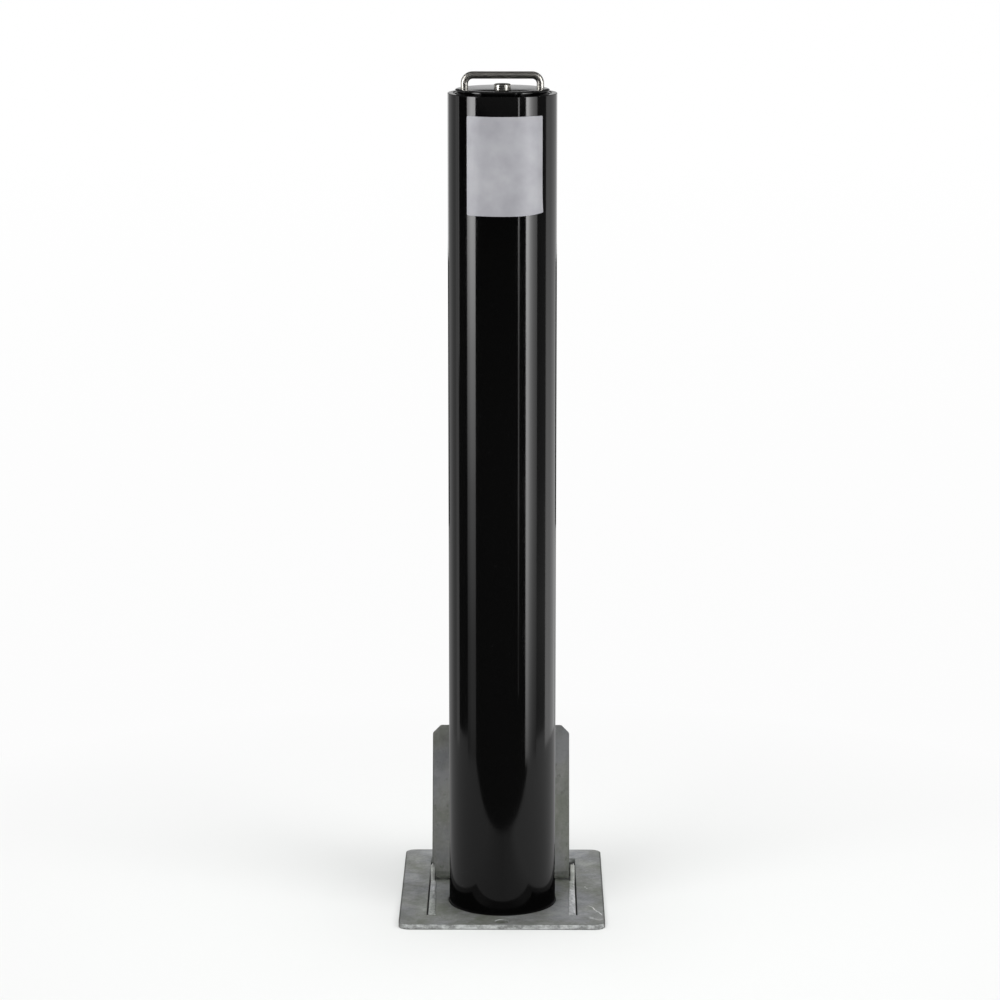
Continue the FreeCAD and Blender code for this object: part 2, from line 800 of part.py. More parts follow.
def make_lid_plate():
    """Lid with a neck between the ears, shoulders above them and clipped upper corners."""
    body = new_body("lid_plate")
    sketch = new_sketch(body, "XZ", level="lid_back_offset")
    outline(sketch, [
        ("-barrel_half", "lid_neck_start"),
        ("barrel_half", "lid_neck_start"),
        ("barrel_half", "lid_shoulder"),
        ("lid_width / 2", "lid_shoulder"),
        ("lid_width / 2", "lid_length - lid_corner"),
        ("lid_width / 2 - lid_corner", "lid_length"),
        ("lid_corner - lid_width / 2", "lid_length"),
        ("-lid_width / 2", "lid_length - lid_corner"),
        ("-lid_width / 2", "lid_shoulder"),
        ("-barrel_half", "lid_shoulder"),
    ])
    pad(body, sketch, "lid_thickness")

    def clipped_corner(edge):
        box = edge.BoundBox
        across = near(box.XLength, 0) and near(box.ZLength, 0)
        return across and box.ZMin > number("lid_length - lid_corner") - SAME_PLACE

    soften(body, "Fillet", "lid_corner_rounding", clipped_corner)
    cope = new_sketch(body, "YZ", level="barrel_half")
    circle(cope, "barrel_radius")
    cut(body, cope)
    notch_radius = "cover_screw_diameter / 2 + lid_notch_clearance"
    middle = "-lid_side_shift"
    notch = new_sketch(body, "XZ", level="lid_back_offset")
    circle(notch, notch_radius, middle, "lid_notch_reach")
    cut(body, notch, backwards=True)
    left = "%s - (%s)" % (middle, notch_radius)
    right = "%s + (%s)" % (middle, notch_radius)
    mouth = new_sketch(body, "XZ", level="lid_back_offset")
    rectangle(mouth, left, right, "lid_notch_reach", "lid_length + lid_corner")
    cut(body, mouth, backwards=True)
    lean_back(body)


def make_hinge_barrel():
    """Tube along the lid's foot that turns on the hinge pin."""
    body = new_body("hinge_barrel")
    sketch = new_sketch(body, "YZ", level="-barrel_half")
    circle(sketch, "barrel_radius")
    circle(sketch, "hinge_bore_radius")
    pad(body, sketch, "2 * barrel_half")
    lean_back(body)


def check_document():
    """Stops when any object failed or any sub-part has no valid shape."""
    doc.recompute()
    for item in doc.Objects:
        if "Invalid" in item.State or "Error" in item.State:
            raise RuntimeError("%s failed: %s" % (item.Label, item.State))
    for part in sub_parts:
        if part.Shape.isNull() or not part.Shape.isValid() or part.Shape.Volume <= 0:
            raise RuntimeError("%s has no valid shape" % part.Label)


def write_steps():
    """Writes each sub-part to a file named after its label."""
    os.makedirs("parts", exist_ok=True)
    for part in sub_parts:
        part.Shape.exportStep("parts/%s.step" % part.Label)
        print("%-20s %2d solid(s) %12.1f mm3" % (part.Label, len(part.Shape.Solids), part.Shape.Volume))


fill_sheet()

make_post_tube()
make_top_cap()
make_lifting_handle()
make_handle_fasteners()
make_front_label()
make_lock_housing()
make_lock_nut()
make_rod_guide()
make_foot_disc()

make_lock_plug()
make_rod_coupler()
make_coupler_pins()
make_lock_rod()
make_tee_bolt()
make_tee_nut()

make_ground_plate()
make_cheek("casing_cheek_left", "-cheek_outer")
make_cheek("casing_cheek_right", "cheek_inner")
make_end_wall("casing_front_wall", "-casing_front", "casing_wall - casing_front")
make_end_wall("casing_rear_wall", "casing_rear - casing_wall", "casing_rear")
make_base_plate()
make_guide_plate()
make_catch_plate()
make_slot_weld("slot_weld_left", "-cheek_inner - weld_middle_offset")
make_slot_weld("slot_weld_right", "cheek_inner + weld_middle_offset")
make_hinge_pin()
make_lid_stop("lid_stop_left", "-")
make_lid_stop("lid_stop_right", "")
make_cover_screw()
make_cover_nut()

make_lid_plate()
make_hinge_barrel()

check_document()
write_steps()
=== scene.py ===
import json
import math

import bmesh
import bpy
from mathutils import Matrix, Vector, noise

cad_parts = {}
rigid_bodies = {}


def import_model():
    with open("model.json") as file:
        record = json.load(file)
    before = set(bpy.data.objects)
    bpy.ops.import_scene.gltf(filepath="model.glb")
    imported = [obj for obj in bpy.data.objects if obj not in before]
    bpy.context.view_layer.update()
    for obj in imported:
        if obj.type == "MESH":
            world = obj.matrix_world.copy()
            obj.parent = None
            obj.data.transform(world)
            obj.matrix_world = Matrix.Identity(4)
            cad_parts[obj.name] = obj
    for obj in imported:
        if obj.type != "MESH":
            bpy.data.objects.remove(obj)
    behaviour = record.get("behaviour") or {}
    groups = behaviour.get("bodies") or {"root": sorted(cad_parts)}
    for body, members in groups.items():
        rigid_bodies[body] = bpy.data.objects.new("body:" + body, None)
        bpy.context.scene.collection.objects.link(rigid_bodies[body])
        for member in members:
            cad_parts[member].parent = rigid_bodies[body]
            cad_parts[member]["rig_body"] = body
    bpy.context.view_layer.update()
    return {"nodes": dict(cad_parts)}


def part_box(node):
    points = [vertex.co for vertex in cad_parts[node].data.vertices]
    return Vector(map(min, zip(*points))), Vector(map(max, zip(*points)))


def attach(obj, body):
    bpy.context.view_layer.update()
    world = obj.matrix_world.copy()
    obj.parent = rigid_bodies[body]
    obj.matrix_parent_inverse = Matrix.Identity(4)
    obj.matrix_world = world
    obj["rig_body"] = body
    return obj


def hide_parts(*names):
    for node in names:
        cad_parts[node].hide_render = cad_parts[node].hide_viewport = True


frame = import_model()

# Removable bollard: finish of every piece, studio and camera.
# Frame: origin on the post's axis at ground level, +Z up, -Y towards the camera. Metres.

MM = 0.001
FULL_TURN = 2 * math.pi
SHARP_EDGE = math.radians(32)

# How finely the round and rippled pieces are divided
TUBE_SIDES = 192
RING_SIDES = 96
BAR_SIDES = 32
BEND_STEPS = 14
LABEL_CELLS = 96
WELD_CELLS_ACROSS = 20
WELD_CELLS_ALONG = 260

# Studio: distances from the post in metres, azimuths in degrees from the camera, and the sky's strength
NEAR = 0.85
FAR = 2.6
PAPER_HALF = 0.95
SOFTBOX_TOP = 1.5
FRONT_END = 102
SIDE_END = 150
SKY_LIGHT = 0.62


# Numbers and colours

def linear(colour):
    """An sRGB hex colour as linear RGBA."""
    channels = [int(colour[i:i + 2], 16) / 255 for i in (1, 3, 5)]
    light = [c / 12.92 if c <= 0.04045 else ((c + 0.055) / 1.055) ** 2.4 for c in channels]
    return (*light, 1.0)


def per_metre(size_mm):
    """Texture scale whose features are about the given size across."""
    return 1000 / size_mm


def sides_of(node):
    """Left and right ends of a node."""
    low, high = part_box(node)
    return low.x, high.x


# Material nodes

def add_node(tree, kind, inputs=(), output=0, **settings):
    """Adds one node with its settings, feeds its inputs with values or links, and gives one output."""
    made = tree.nodes.new("ShaderNode" + kind)
    for name, value in settings.items():
        setattr(made, name, value)
    for socket, value in inputs.items() if isinstance(inputs, dict) else enumerate(inputs):
        if isinstance(value, bpy.types.NodeSocket):
            tree.links.new(value, made.inputs[socket])
        else:
            made.inputs[socket].default_value = value
    return made.outputs[output]


def new_material(name, **sockets):
    """A material and its tree, with plain values in the shader's sockets, named with underscores."""
    material = bpy.data.materials.new(name)
    material.use_nodes = True
    shader = material.node_tree.nodes["Principled BSDF"]
    for socket, value in sockets.items():
        shader.inputs[socket.replace("_", " ")].default_value = value
    return material, material.node_tree


def feed(material, **sources):
    """Links outputs of nodes to the shader's sockets, named with underscores."""
    shader = material.node_tree.nodes["Principled BSDF"]
    for socket, source in sources.items():
        material.node_tree.links.new(source, shader.inputs[socket.replace("_", " ")])


def colour_so_far(material):
    """The output that feeds a material's colour."""
    return material.node_tree.nodes["Principled BSDF"].inputs["Base Color"].links[0].from_socket


def object_place(tree, scale=(1, 1, 1)):
    """Object coordinates, scaled where a pattern has a direction."""
    where = add_node(tree, "TexCoord", output="Object")
    return add_node(tree, "Mapping", {"Vector": where, "Scale": scale})


def place_along(tree, axis):
    """How far along an axis of the object each point lies."""
    return add_node(tree, "SeparateXYZ", [object_place(tree)], output=axis)


def pattern(tree, size_mm, detail, roughness, scale=(1, 1, 1)):
    """Cloudy or gritty pattern over the object, with features of a real size."""
    place = object_place(tree, scale)
    sockets = {"Vector": place, "Scale": per_metre(size_mm), "Detail": detail, "Roughness": roughness}
    return add_node(tree, "TexNoise", sockets)


def follow(tree, value, points):
    """A value that runs in straight lines through (place, level) points, and level outside them."""
    total = points[0][1]
    for (start, low), (end, high) in zip(points, points[1:]):
        step = add_node(tree, "MapRange", [value, start, end, 0, high - low])
        total = add_node(tree, "Math", [step, total], operation="ADD")
    return total


def weighed_sum(tree, *parts):
    """Adds up (value, share) pairs."""
    total = 0.0
    for value, share in parts:
        total = add_node(tree, "Math", [value, share, total], operation="MULTIPLY_ADD")
    return total


def product(tree, *values):
    """Multiplies values."""
    total = 1.0
    for value in values:
        total = add_node(tree, "Math", [value, total], operation="MULTIPLY")
    return total


def lay_over(tree, under, over, amount, low=0, high=1, most=1):
    """Lays one colour over another, more and more as an amount rises from low to high."""
    share = add_node(tree, "MapRange", [amount, low, high, 0, most])
    # In a colour mix the factor is socket 0 and the two colours are sockets 6 and 7.
    return add_node(tree, "Mix", {0: share, 6: under, 7: over}, output=2, data_type="RGBA")


def shade_through(tree, value, stops):
    """A colour that runs through (level, hex colour) stops."""
    colour = linear(stops[0][1])
    for (low, _), (high, tone) in zip(stops, stops[1:]):
        colour = lay_over(tree, colour, linear(tone), value, low, high)
    return colour


# Materials

def gloss_powder_coat():
    """Black polyester powder coat on steel: deep black, sharp reflections, faint orange peel, some dust."""
    material, tree = new_material("gloss_black_powder_coat", IOR=1.5)
    upright = (1, 1, 0.35)
    dust = pattern(tree, 1.1, 2, 0.7)
    colour = lay_over(tree, linear("#050505"), linear("#5A5A5C"), dust, 0.74, 0.80, 0.55)
    wipes = pattern(tree, 26, 5, 0.6, upright)
    rough = add_node(tree, "MapRange", [wipes, 0.35, 0.75, 0.05, 0.12])
    peel = pattern(tree, 4.5, 2, 0.4)
    swell = pattern(tree, 60, 2, 0.4, upright)
    height = weighed_sum(tree, (peel, 0.25), (swell, 1))
    bump = add_node(tree, "Bump", {"Strength": 0.12, "Distance": 0.16 * MM, "Height": height})
    feed(material, Base_Color=colour, Roughness=rough, Normal=bump)
    return material


def polished_stainless(name, tint, roughness):
    """Stainless steel with a soft polish: smooth, a little cloudy in the gloss."""
    material, tree = new_material(name, Metallic=1.0, Base_Color=linear(tint))
    cloud = pattern(tree, 9, 3, 0.6)
    rough = add_node(tree, "MapRange", [cloud, 0.3, 0.7, roughness * 0.85, roughness * 1.15])
    feed(material, Roughness=rough)
    return material


def galvanised(name, tones, roughness=0.5, metallic=0.85, lump_mm=1.4, depth_mm=0.12):
    """Weathered hot-dip zinc in dark, middle and light tones: cloudy greys, stains, pits and pale scuffs."""
    dark, middle, light = tones
    material, tree = new_material(name, Metallic=metallic)
    clouds = pattern(tree, 48, 6, 0.62)
    patches = pattern(tree, 14, 5, 0.6)
    grit = pattern(tree, 2.6, 4, 0.65)
    mottle = weighed_sum(tree, (clouds, 0.5), (patches, 0.32), (grit, 0.18))
    colour = shade_through(tree, mottle, [(0.41, dark), (0.5, middle), (0.59, light)])
    drift = pattern(tree, 55, 3, 0.5)
    casts = shade_through(tree, drift, [(0.38, "#767B6F"), (0.5, "#808280"), (0.62, "#7C7F88")])
    colour = lay_over(tree, colour, casts, 0.4)
    runs = pattern(tree, 9, 4, 0.6, (1, 1, 0.25))
    colour = lay_over(tree, colour, linear(light), runs, 0.58, 0.72, 0.25)
    stains = pattern(tree, 5, 5, 0.7, (1, 1, 0.4))
    colour = lay_over(tree, colour, linear("#4E504B"), stains, 0.58, 0.70, 0.55)
    scuffs = pattern(tree, 1.3, 3, 0.7, (1, 0.12, 1))
    colour = lay_over(tree, colour, linear("#B9BCBA"), scuffs, 0.70, 0.78, 0.45)
    rough = add_node(tree, "MapRange", [mottle, 0.36, 0.64, roughness + 0.10, roughness - 0.08])
    lumps = pattern(tree, lump_mm, 4, 0.6)
    height = weighed_sum(tree, (lumps, 0.35), (patches, 1))
    bump = add_node(tree, "Bump", {"Strength": 0.5, "Distance": depth_mm * MM, "Height": height})
    feed(material, Base_Color=colour, Roughness=rough, Normal=bump)
    return material


def plated_steel(name, tint, roughness):
    """Electroplated turned and sawn parts: slightly streaky metal, hazed in patches."""
    material, tree = new_material(name, Metallic=1.0, Roughness=roughness)
    haze = pattern(tree, 7, 4, 0.6)
    colour = lay_over(tree, linear(tint), linear("#8D8B84"), haze, 0.35, 0.7, 0.5)
    lines = pattern(tree, 3, 3, 0.5, (1, 1, 12))
    bump = add_node(tree, "Bump", {"Strength": 0.2, "Distance": 0.03 * MM, "Height": lines})
    feed(material, Base_Color=colour, Normal=bump)
    return material


def label_film():
    """Bare silver-white vinyl label: satin film with faint creases and a soft sheen."""
    material, tree = new_material("silver_vinyl_label", Roughness=0.42)
    clouds = pattern(tree, 30, 3, 0.5)
    colour = shade_through(tree, clouds, [(0.3, "#919196"), (0.5, "#9B9BA0"), (0.7, "#A5A5A9")])
    creases = pattern(tree, 18, 3, 0.5, (1, 1, 0.5))
    bump = add_node(tree, "Bump", {"Strength": 0.25, "Distance": 0.25 * MM, "Height": creases})
    feed(material, Base_Color=colour, Normal=bump)
    return material


# Wear on the zinc

def edge_flecks_and_painted_light(material, bright, middle):
    """Narrow sides painted paler with bright flecks, partly painted light and partly wear; painted shade
    where the top rounds over and a painted contact shadow along the foot.
    """
    tree = material.node_tree
    facing = add_node(tree, "TexCoord", output="Normal")
    upward = add_node(tree, "SeparateXYZ", [facing], output="Z")
    flecks = pattern(tree, 6, 5, 0.7, (0.6, 1, 1))
    flecked = lay_over(tree, linear(bright), linear(middle), flecks, 0.4, 0.6)
    # Faces that turn to the side get a paler flecked colour: painted light on the narrow sides, with flecks
    # of wear.
    side_light = follow(tree, upward, [(0.3, 1), (0.85, 0)])
    colour = lay_over(tree, colour_so_far(material), flecked, side_light)
    # Painted shade where the top turns down into the sides.
    rounding_shade = follow(tree, upward, [(0.2, 0), (0.5, 0.85), (0.97, 0.85), (0.999, 0)])
    # Painted contact shadow along the foot.
    foot_shadow = follow(tree, place_along(tree, "Z"), [(0.3 * MM, 0.7), (1.6 * MM, 0)])
    painted_edge_shade = add_node(tree, "Math", [rounding_shade, foot_shadow], operation="MAXIMUM")
    feed(material, Base_Color=lay_over(tree, colour, linear("#3F413C"), painted_edge_shade))


def add_scratch(material, start, end, width_mm, strength):
    """A fresh bright scratch between two points of a level face, given in mm, uneven along its length."""
    tree = material.node_tree
    start = Vector(start) * MM
    end = Vector(end) * MM
    run = end - start
    width = width_mm * MM
    sockets = {
        "Vector": object_place(tree),
        "Location": (start + end).to_3d() / 2,
        "Rotation": (0, 0, math.atan2(run.y, run.x)),
    }
    place = add_node(tree, "Mapping", sockets, vector_type="TEXTURE")
    swerves = add_node(tree, "TexNoise", {"Vector": place, "Scale": per_metre(12), "Detail": 2})
    wobble = follow(tree, swerves, [(0.3, -width), (0.7, width)])
    beside = weighed_sum(tree, (add_node(tree, "SeparateXYZ", [place], output="Y"), 1), (wobble, 1))
    across = add_node(tree, "Math", [beside], operation="ABSOLUTE")
    from_middle = add_node(tree, "SeparateXYZ", [place], output="X")
    along = add_node(tree, "Math", [from_middle], operation="ABSOLUTE")
    line = follow(tree, across, [(0.25 * width, strength), (0.5 * width, 0)])
    reach = follow(tree, along, [(0.38 * run.length, 1), (0.5 * run.length, 0)])
    skips = {"Vector": place, "Scale": per_metre(4), "Detail": 3, "Roughness": 0.6}
    breaks = follow(tree, add_node(tree, "TexNoise", skips), [(0.4, 0.35), (0.55, 1)])
    amount = product(tree, line, reach, breaks)
    feed(material, Base_Color=lay_over(tree, colour_so_far(material), linear("#E6E8E6"), amount))


def tone_along(material, axis, points):
    """Makes a colour darker or lighter along an axis, by (millimetres, factor) points."""
    tree = material.node_tree
    factor = follow(tree, place_along(tree, axis), [(at * MM, level) for at, level in points])
    sockets = {0: colour_so_far(material), "Scale": factor}
    feed(material, Base_Color=add_node(tree, "VectorMath", sockets, operation="SCALE"))


def darken_towards_sides(material, sides, colour, left, right):
    """Lays a dark colour over a material towards its left and right ends, by (millimetres in from the end,
    amount) points.
    """
    tree = material.node_tree
    points = [(sides[0] + inset * MM, amount) for inset, amount in left]
    points += [(sides[1] - inset * MM, amount) for inset, amount in reversed(right)]
    amount = follow(tree, place_along(tree, "X"), points)
    feed(material, Base_Color=lay_over(tree, colour_so_far(material), linear(colour), amount))


# Meshes

def to_object(name, bm, material, smooth_angle=35):
    """Turns a bmesh into an object at the origin, shaded smooth up to an angle."""
    mesh = bpy.data.meshes.new(name)
    bm.to_mesh(mesh)
    bm.free()
    made = bpy.data.objects.new(name, mesh)
    bpy.context.scene.collection.objects.link(made)
    mesh.materials.append(material)
    mesh.shade_smooth()
    mesh.set_sharp_from_angle(angle=math.radians(smooth_angle))
    return made


def stand_for(piece, body, slot, *nodes):
    """Hangs a piece on its body in place of the CAD nodes that it finishes."""
    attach(piece, body)
    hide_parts(*nodes)


def turned(profile, sides=TUBE_SIDES):
    """Spins a closed profile of (radius, height) points once round the post's axis."""
    same_place = 1e-7
    no_length = 1e-8
    bm = bmesh.new()
    points = [bm.verts.new((r, 0, z)) for r, z in profile]
    edges = [bm.edges.new((a, b)) for a, b in zip(points, points[1:] + points[:1])]
    bmesh.ops.spin(
        bm, geom=points + edges, cent=(0, 0, 0), axis=(0, 0, 1), angle=FULL_TURN, steps=sides, use_merge=True
    )
    bmesh.ops.remove_doubles(bm, verts=bm.verts, dist=same_place)
    bmesh.ops.dissolve_degenerate(bm, edges=bm.edges, dist=no_length)
    bmesh.ops.recalc_face_normals(bm, faces=bm.faces)
    return bm


def arc(centre_r, centre_z, radius, start, end, steps):
    """Points of an arc in a profile, angles in degrees from outwards."""
    angles = [math.radians(start + (end - start) * i / steps) for i in range(steps + 1)]
    return [(centre_r + radius * math.cos(a), centre_z + radius * math.sin(a)) for a in angles]


def merged_copy(node):
    """The CAD node's own mesh with its loose triangles joined and its flat faces whole."""
    same_place = 2e-6
    flat = math.radians(0.5)
    bm = bmesh.new()
    bm.from_mesh(frame["nodes"][node].data)
    bmesh.ops.remove_doubles(bm, verts=bm.verts, dist=same_place)
    bmesh.ops.dissolve_limit(
        bm, angle_limit=flat, use_dissolve_boundaries=False, verts=bm.verts, edges=bm.edges
    )
    return bm


def soften_edges(bm, width_mm, segments=2, keep=lambda edge: False):
    """Rounds every sharp edge apart from those to keep."""
    edges = [e for e in bm.edges if e.is_manifold and e.calc_face_angle(0) > SHARP_EDGE and not keep(e)]
    bmesh.ops.bevel(
        bm, geom=edges, offset=width_mm * MM, offset_type="OFFSET", affect="EDGES",
        segments=segments, profile=0.5, material=-1, clamp_overlap=True
    )
    return bm


def from_cad(node, material, slot, width_mm, segments=2):
    """A piece that keeps the CAD shape, with rounded edges and its own finish."""
    bm = soften_edges(merged_copy(node), width_mm, segments)
    piece = to_object(node + "_finished", bm, material)
    stand_for(piece, frame["nodes"][node]["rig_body"], slot, node)


# Post

def make_post_tube(material):
    """Steel tube with a softly rounded rim and a small chamfer below."""
    low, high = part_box("post_tube")
    wall = 6.3 * MM
    rim = 0.5 * MM
    inner_rim = 1.0 * MM
    radius = high.x
    bore = radius - wall
    profile = arc(radius - rim, high.z - rim, rim, 0, 90, 6)
    profile += arc(bore + inner_rim, high.z - inner_rim, inner_rim, 90, 180, 4)
    profile += [(bore, low.z + rim), (bore + rim, low.z), (radius - rim, low.z), (radius, low.z + rim)]
    piece = to_object("post_tube_coated", turned(profile), material)
    stand_for(piece, "post", "black_gloss_paint", "post_tube")


def make_top_cap(material):
    """Pressed cap: barely domed crown, upright brow, a fine groove and a skirt down the bore."""
    low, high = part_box("top_cap")
    skirt = high.x
    skirt_inside = skirt - 3.4 * MM
    ceiling = high.z - 6 * MM
    crown = 43 * MM
    brow = skirt - 1.7 * MM
    brow_drop = 2.9 * MM
    groove = brow - 1.6 * MM
    groove_drop = 4.7 * MM
    seat_drop = 6.5 * MM
    sag = 0.8 * MM
    steps = 18
    # A quarter of a circle would have a fullness of 1; less gives a squarer shoulder.
    fullness = 2 / 3
    profile = [(crown * i / steps, high.z - sag * (i / steps) ** 2) for i in range(steps)]
    for i in range(steps + 1):
        angle = math.pi / 2 * i / steps
        out = crown + (brow - crown) * math.sin(angle) ** fullness
        down = sag + (brow_drop - sag) * (1 - math.cos(angle) ** fullness)
        profile.append((out, high.z - down))
    profile += [(groove, high.z - groove_drop), (skirt, high.z - seat_drop)]
    profile += [(skirt, low.z), (skirt_inside, low.z), (skirt_inside, ceiling), (0, ceiling)]
    piece = to_object("top_cap_coated", turned(profile), material)
    stand_for(piece, "post", "black_gloss_paint", "top_cap")


def make_lifting_handle(material):
    """Round bar bent twice: a ring is drawn up each leg, round each bend and along the grip."""
    low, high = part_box("lifting_handle")
    radius = 4 * MM
    bend = 9 * MM
    leg = high.x - radius
    bend_start = high.z - radius - bend
    same_place = 1e-6
    bm = bmesh.new()
    bmesh.ops.create_circle(bm, radius=radius, segments=BAR_SIDES)
    bmesh.ops.translate(bm, vec=(-leg, 0, low.z), verts=bm.verts)
    ring = bm.edges[:]

    def draw_along(edges, vector):
        made = bmesh.ops.extrude_edge_only(bm, edges=edges)["geom"]
        bmesh.ops.translate(bm, vec=vector, verts=[v for v in made if isinstance(v, bmesh.types.BMVert)])
        return [e for e in made if isinstance(e, bmesh.types.BMEdge)]

    def bend_round(edges, centre):
        verts = list({v for e in edges for v in e.verts})
        made = bmesh.ops.spin(
            bm, geom=verts + edges, cent=centre, axis=(0, 1, 0), angle=math.pi / 2, steps=BEND_STEPS
        )["geom_last"]
        return [e for e in made if isinstance(e, bmesh.types.BMEdge)]

    ring = draw_along(ring, (0, 0, bend_start - low.z))
    ring = bend_round(ring, (-leg + bend, 0, bend_start))
    ring = draw_along(ring, (2 * (leg - bend), 0, 0))
    ring = bend_round(ring, (leg - bend, 0, bend_start))
    draw_along(ring, (0, 0, low.z - bend_start))
    bmesh.ops.remove_doubles(bm, verts=bm.verts, dist=same_place)
    bmesh.ops.holes_fill(bm, edges=[e for e in bm.edges if e.is_boundary])
    bmesh.ops.recalc_face_normals(bm, faces=bm.faces)
    piece = to_object("lifting_handle_polished", bm, material)
    stand_for(piece, "post", "polished_stainless", "lifting_handle")


def make_lock_housing(material):
    """Lock ring with a rounded crown and a dished face round the plug, on a barrel down through the cap."""
    low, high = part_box("lock_housing")
    cap_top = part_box("top_cap")[1].z
    ring = high.x
    bore = 4 * MM
    barrel = 8 * MM
    barrel_chamfer = 0.6 * MM
    crown = 1.6 * MM
    dish = [(2.0 * MM, 0.25 * MM), (0.4 * MM, 1.1 * MM), (0, 1.5 * MM)]
    profile = arc(ring - crown, high.z - crown, crown, 0, 90, 6)
    profile += [(bore + out, high.z - down) for out, down in dish]
    profile += [(bore, low.z), (barrel - barrel_chamfer, low.z), (barrel, low.z + barrel_chamfer)]
    profile += [(barrel, cap_top), (ring, cap_top)]
    piece = to_object("lock_ring_polished", turned(profile, RING_SIDES), material)
    stand_for(piece, "post", "polished_stainless", "lock_housing")


def make_label(material):
    """Curved film with round corners, faint creases and a lower right corner that curls up."""
    low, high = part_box("front_label")
    gap = 0.04 * MM
    thickness = 0.25 * MM
    corner = 1.3 * MM
    peeled = 22 * MM
    peel_rise = 1.2 * MM
    peel_shift = 2.6 * MM
    crease_rise = 0.12 * MM
    creases_per_metre = 60
    crease_seed = 1.7
    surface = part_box("post_tube")[1].x + gap
    start = math.asin(low.x / surface)
    end = math.asin(high.x / surface)
    width = (end - start) * surface
    height = high.z - low.z
    bm = bmesh.new()
    bmesh.ops.create_grid(bm, x_segments=LABEL_CELLS, y_segments=LABEL_CELLS, size=0.5)
    for v in bm.verts:
        x = v.co.x * width
        z = v.co.y * height
        over_x = abs(x) - (width / 2 - corner)
        over_z = abs(z) - (height / 2 - corner)
        if over_x > 0 and over_z > 0:
            shrink = max(over_x, over_z) / math.hypot(over_x, over_z)
            x = math.copysign(width / 2 - corner + over_x * shrink, x)
            z = math.copysign(height / 2 - corner + over_z * shrink, z)
        from_corner = (width / 2 - x + height / 2 + z) / math.sqrt(2)
        peel = max(0, 1 - from_corner / peeled) ** 2
        z += peel_shift * peel
        spot = Vector((x * creases_per_metre, z * creases_per_metre, crease_seed))
        crease = max(0, noise.noise(spot))
        reach = surface + peel_rise * peel + crease_rise * crease
        angle = (start + end) / 2 + x / surface
        v.co = Vector((reach * math.sin(angle), -reach * math.cos(angle), (low.z + high.z) / 2 + z))
    bmesh.ops.recalc_face_normals(bm, faces=bm.faces)
    if bm.faces[:][0].normal.y > 0:
        bmesh.ops.reverse_faces(bm, faces=bm.faces)
    bmesh.ops.solidify(bm, geom=bm.faces[:], thickness=-thickness)
    bmesh.ops.recalc_face_normals(bm, faces=bm.faces)
    piece = to_object("front_label_film", bm, material, smooth_angle=50)
    stand_for(piece, "post", "label_film", "front_label")


# Socket and lid

def make_lid_plate(material):
    """Lid whose neck runs on to the hinge barrel without a step, straight down its right side."""
    low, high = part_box("hinge_pin")
    hinge = (low + high) / 2
    lean = math.radians(20)
    upwards = Vector((0, math.sin(lean), math.cos(lean)))
    neck_end = 2.1 * MM
    neck_target = 0.3 * MM
    shoulder = 9.1 * MM
    by_the_side = 1 * MM
    same_place = 0.01 * MM
    lid_side = sides_of("lid_plate")[1]
    neck_side = sides_of("hinge_barrel")[1]
    bm = merged_copy("lid_plate")

    def reach(vert):
        return (vert.co - hinge).dot(upwards)

    for vert in bm.verts:
        if reach(vert) < shoulder and vert.co.x > neck_side - by_the_side:
            vert.co.x = lid_side
        if reach(vert) < neck_end:
            vert.co -= upwards * (reach(vert) - neck_target)
    bmesh.ops.remove_doubles(bm, verts=bm.verts, dist=same_place)
    soften_edges(bm, 0.8, segments=3, keep=lambda edge: min(reach(v) for v in edge.verts) < neck_end)
    piece = to_object("lid_plate_finished", bm, material)
    stand_for(piece, "lid", "galvanised_steel", "lid_plate")


def make_hinge_barrel(material):
    """Hinge barrel that reaches as far to the right as the lid does."""
    end = sides_of("hinge_barrel")[1]
    by_the_end = 1 * MM
    lid_side = sides_of("lid_plate")[1]
    bm = merged_copy("hinge_barrel")
    for vert in bm.verts:
        if vert.co.x > end - by_the_end:
            vert.co.x = lid_side
    piece = to_object("hinge_barrel_finished", soften_edges(bm, 1.4, segments=3), material)
    stand_for(piece, "lid", "galvanised_steel", "hinge_barrel")


